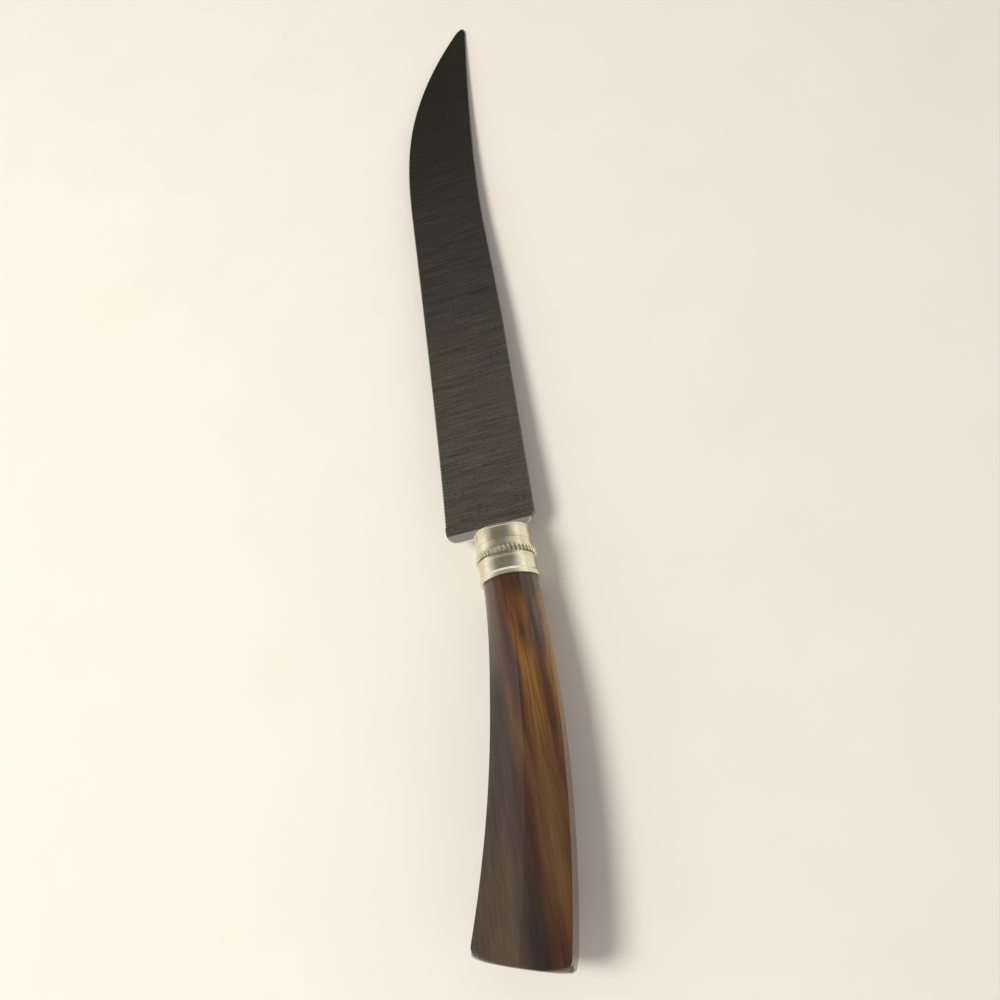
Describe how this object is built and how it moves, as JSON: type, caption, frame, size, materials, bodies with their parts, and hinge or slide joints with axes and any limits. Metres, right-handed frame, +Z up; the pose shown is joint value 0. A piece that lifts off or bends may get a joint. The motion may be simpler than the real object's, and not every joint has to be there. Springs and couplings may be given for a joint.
{
  "type": "carving knife",
  "caption": "Carving knife with a fine-toothed upswept blade, a gadrooned metal ferrule and a swept six-sided handle.",
  "frame": {"origin": "centre of the knife's footprint on the table that it lies on", "axes": "+X to the tip, +Y to the cutting edge, +Z up out of the blade's upper face"},
  "size_m": [0.3538, 0.0524, 0.0224],
  "materials": {
    "blade_steel": "fine crosswise ground",
    "nickel_silver": "polished",
    "horn_resin": "glossy, streaked",
    "cutler_cement": "dull"
  },
  "bodies": {
    "root": {"blade": "blade_steel", "ferrule": "nickel_silver", "ferrule_cap": "nickel_silver", "handle": "horn_resin", "cement": "cutler_cement"}
  },
  "joints": []
}
